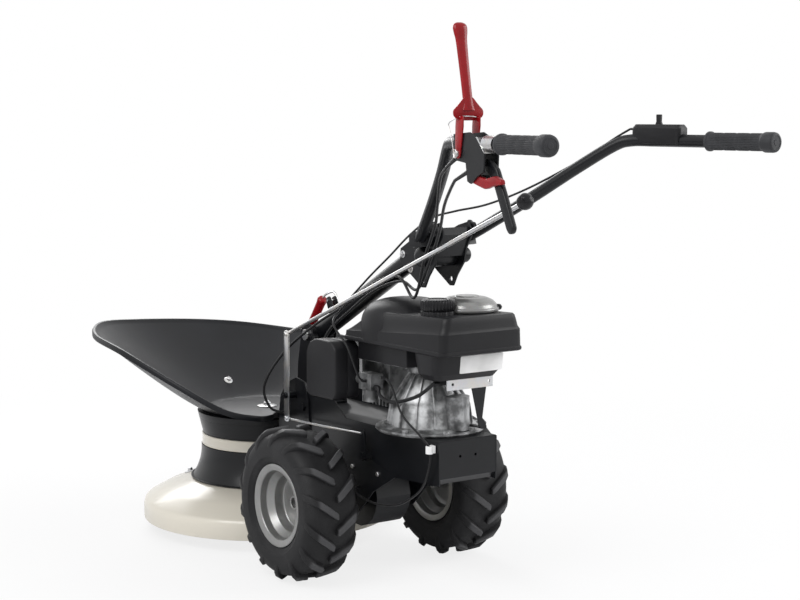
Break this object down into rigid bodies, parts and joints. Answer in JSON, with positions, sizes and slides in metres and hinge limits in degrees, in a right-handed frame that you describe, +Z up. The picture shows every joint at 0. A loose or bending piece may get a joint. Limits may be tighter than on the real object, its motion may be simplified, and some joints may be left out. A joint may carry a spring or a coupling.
{
  "type": "rotary walk-behind mower",
  "caption": "Walk-behind drum mower: cream cutting drum under a black guard dish, two lugged tyres, vertical-shaft engine, column and bent handlebars with levers.",
  "frame": {"origin": "drum axis at ground level, on the flat underside of the skid dish", "axes": "+X is the machine's right, +Y is forward, +Z is up"},
  "size_m": [0.724, 1.753, 1.149],
  "materials": {
    "black_paint": "satin",
    "cream_paint": "gloss",
    "red_paint": "gloss",
    "rim_silver": "satin",
    "zinc": "bright",
    "steel": "satin",
    "cast_aluminium": "cast",
    "tyre_rubber": "matte",
    "rubber": "matte",
    "dark_plastic": "satin",
    "red_plastic": "gloss",
    "cable_black": "satin"
  },
  "bodies": {
    "chassis": {"chassis_frame": "black_paint", "gearbox_housing": "black_paint", "column_base": "black_paint", "column_pin": "zinc", "neck_band": "cream_paint", "neck_bearing": "steel", "neck_cone": "black_paint", "guard_dish": "black_paint", "dish_bolt": "zinc", "drive_belt": "rubber", "engine_block": "cast_aluminium", "engine_cowl": "dark_plastic", "fuel_tank": "dark_plastic", "starter_cover": "dark_plastic", "air_filter_box": "dark_plastic", "carburettor": "cast_aluminium", "muffler": "steel", "tank_bracket": "zinc", "fuel_hose": "cable_black", "stop_cable": "cable_black", "throttle_cable": "cable_black", "clutch_cable": "cable_black", "brake_cable": "cable_black"},
    "drum": {"drum_shaft": "steel", "cutting_disc": "cream_paint", "drum_skirt": "black_paint"},
    "skid": {"skid_dish": "steel"},
    "first_blade": {"blade_1": "steel"},
    "second_blade": {"blade_2": "steel"},
    "third_blade": {"blade_3": "steel"},
    "crank": {"crankshaft": "steel"},
    "axle": {"wheel_axle": "steel"},
    "left_wheel": {"left_rim": "rim_silver", "left_tyre": "tyre_rubber"},
    "right_wheel": {"right_rim": "rim_silver", "right_tyre": "tyre_rubber"},
    "strap": {"strap_lever": "zinc"},
    "link": {"link_rod": "zinc"},
    "selector": {"gear_lever": "black_paint"},
    "shifter": {"shift_rod": "zinc", "shift_knob": "dark_plastic"},
    "column": {"column": "black_paint"},
    "lock": {"lock_wire": "zinc", "lock_sleeve": "red_plastic"},
    "bars": {"head_bracket": "black_paint", "head_bolt": "zinc", "left_bar": "black_paint", "right_bar": "black_paint", "left_grip": "rubber", "right_grip": "rubber", "lever_bracket": "zinc", "throttle_box": "dark_plastic"},
    "left_clamp": {"left_knob": "dark_plastic"},
    "right_clamp": {"right_knob": "dark_plastic"},
    "deadman": {"deadman_lever": "red_paint"},
    "clutch": {"clutch_lever": "dark_plastic"},
    "latch": {"clutch_latch": "red_plastic"},
    "throttle": {"throttle_lever": "dark_plastic"},
    "cap": {"fuel_cap": "dark_plastic"},
    "starter_pull": {"starter_grip": "dark_plastic"}
  },
  "joints": [
    {"name": "drum_spin", "type": "hinge", "parent": "chassis", "child": "drum", "pos_m": [0, 0, 0.1], "axis": [0, 0, 1], "continuous": true},
    {"name": "skid_spin", "type": "hinge", "parent": "drum", "child": "skid", "pos_m": [0, 0, 0.01], "axis": [0, 0, 1], "continuous": true},
    {"name": "first_blade_swing", "type": "hinge", "parent": "drum", "child": "first_blade", "pos_m": [0.2269, 0.131, 0.0225], "axis": [0, 0, 1], "continuous": true},
    {"name": "second_blade_swing", "type": "hinge", "parent": "drum", "child": "second_blade", "pos_m": [-0.2269, 0.131, 0.0225], "axis": [0, 0, 1], "continuous": true},
    {"name": "third_blade_swing", "type": "hinge", "parent": "drum", "child": "third_blade", "pos_m": [0, -0.262, 0.0225], "axis": [0, 0, 1], "continuous": true},
    {"name": "crank_spin", "type": "hinge", "parent": "chassis", "child": "crank", "pos_m": [0, -0.663, 0.253], "axis": [0, 0, 1], "continuous": true},
    {"name": "axle_spin", "type": "hinge", "parent": "chassis", "child": "axle", "pos_m": [0, -0.46, 0.165], "axis": [1, 0, 0], "continuous": true},
    {"name": "left_wheel_spin", "type": "hinge", "parent": "chassis", "child": "left_wheel", "pos_m": [-0.2, -0.46, 0.165], "axis": [1, 0, 0], "continuous": true},
    {"name": "right_wheel_spin", "type": "hinge", "parent": "chassis", "child": "right_wheel", "pos_m": [0.2, -0.46, 0.165], "axis": [1, 0, 0], "continuous": true},
    {"name": "strap_swing", "type": "hinge", "parent": "chassis", "child": "strap", "pos_m": [-0.1, -0.255, 0.358], "axis": [1, 0, 0], "range_deg": [-8.2, 8.2]},
    {"name": "shift_stroke", "type": "slide", "parent": "chassis", "child": "shifter", "axis": [0, -0.9288, 0.3705], "range_m": [-0.018, 0.018]},
    {"name": "link_stroke", "type": "slide", "parent": "chassis", "child": "link", "axis": [0, 1, 0], "range_m": [-0.008, 0.008]},
    {"name": "selector_turn", "type": "hinge", "parent": "chassis", "child": "selector", "pos_m": [-0.0911, -0.548, 0.268], "axis": [1, 0, 0], "range_deg": [-9, 9]},
    {"name": "column_pitch", "type": "hinge", "parent": "chassis", "child": "column", "pos_m": [0, -0.235, 0.488], "axis": [1, 0, 0], "range_deg": [-20, 0], "deforming": ["throttle_cable", "clutch_cable", "brake_cable"]},
    {"name": "lock_swing", "type": "hinge", "parent": "column", "child": "lock", "pos_m": [0, -0.2875, 0.5697], "axis": [1, 0, 0], "range_deg": [0, 30]},
    {"name": "bars_pitch", "type": "hinge", "parent": "column", "child": "bars", "pos_m": [0, -0.694, 0.698], "axis": [1, 0, 0], "range_deg": [-12, 8], "deforming": ["throttle_cable", "clutch_cable", "brake_cable"]},
    {"name": "left_clamp_turn", "type": "hinge", "parent": "bars", "child": "left_clamp", "pos_m": [-0.0383, -0.738, 0.757], "axis": [1, 0, 0], "range_deg": [0, 360]},
    {"name": "right_clamp_turn", "type": "hinge", "parent": "bars", "child": "right_clamp", "pos_m": [0.0383, -0.738, 0.757], "axis": [1, 0, 0], "range_deg": [0, 360]},
    {"name": "deadman_press", "type": "hinge", "parent": "bars", "child": "deadman", "pos_m": [-0.23545, -1.09189, 0.919], "axis": [0.9934, -0.1148, 0], "range_deg": [0, 48], "stiffness_Nm_per_rad": 1.5, "springref_deg": -34.38, "deforming": ["brake_cable"]},
    {"name": "clutch_squeeze", "type": "hinge", "parent": "bars", "child": "clutch", "pos_m": [-0.24325, -1.15944, 0.902], "axis": [0.9934, -0.1148, 0], "range_deg": [-47, 0], "stiffness_Nm_per_rad": 1.5, "springref_deg": 34.38, "deforming": ["clutch_cable"]},
    {"name": "latch_tip", "type": "hinge", "parent": "bars", "child": "latch", "pos_m": [-0.2397, -1.12864, 0.879], "axis": [0.9934, -0.1148, 0], "range_deg": [0, 20]},
    {"name": "throttle_turn", "type": "hinge", "parent": "bars", "child": "throttle", "pos_m": [0.23488, -1.08692, 0.961], "axis": [0.9934, 0.1148, 0], "range_deg": [-30, 30], "deforming": ["throttle_cable"]},
    {"name": "cap_turn", "type": "hinge", "parent": "chassis", "child": "cap", "pos_m": [-0.046, -0.752, 0.5953], "axis": [0, 0, 1], "range_deg": [0, 90]},
    {"name": "starter_stroke", "type": "slide", "parent": "chassis", "child": "starter_pull", "axis": [0.8211, -0.5708, 0], "range_m": [0, 0.45], "stiffness_N_per_m": 15, "springref_m": -0.3}
  ],
  "couplings": [
    {"joint": "crank_spin", "follows": "drum_spin", "ratio": 1.375},
    {"joint": "strap_swing", "follows": "shift_stroke", "rad_per_m": 7.692},
    {"joint": "link_stroke", "follows": "shift_stroke", "ratio": 0.41154},
    {"joint": "selector_turn", "follows": "shift_stroke", "rad_per_m": -8.4846}
  ]
}
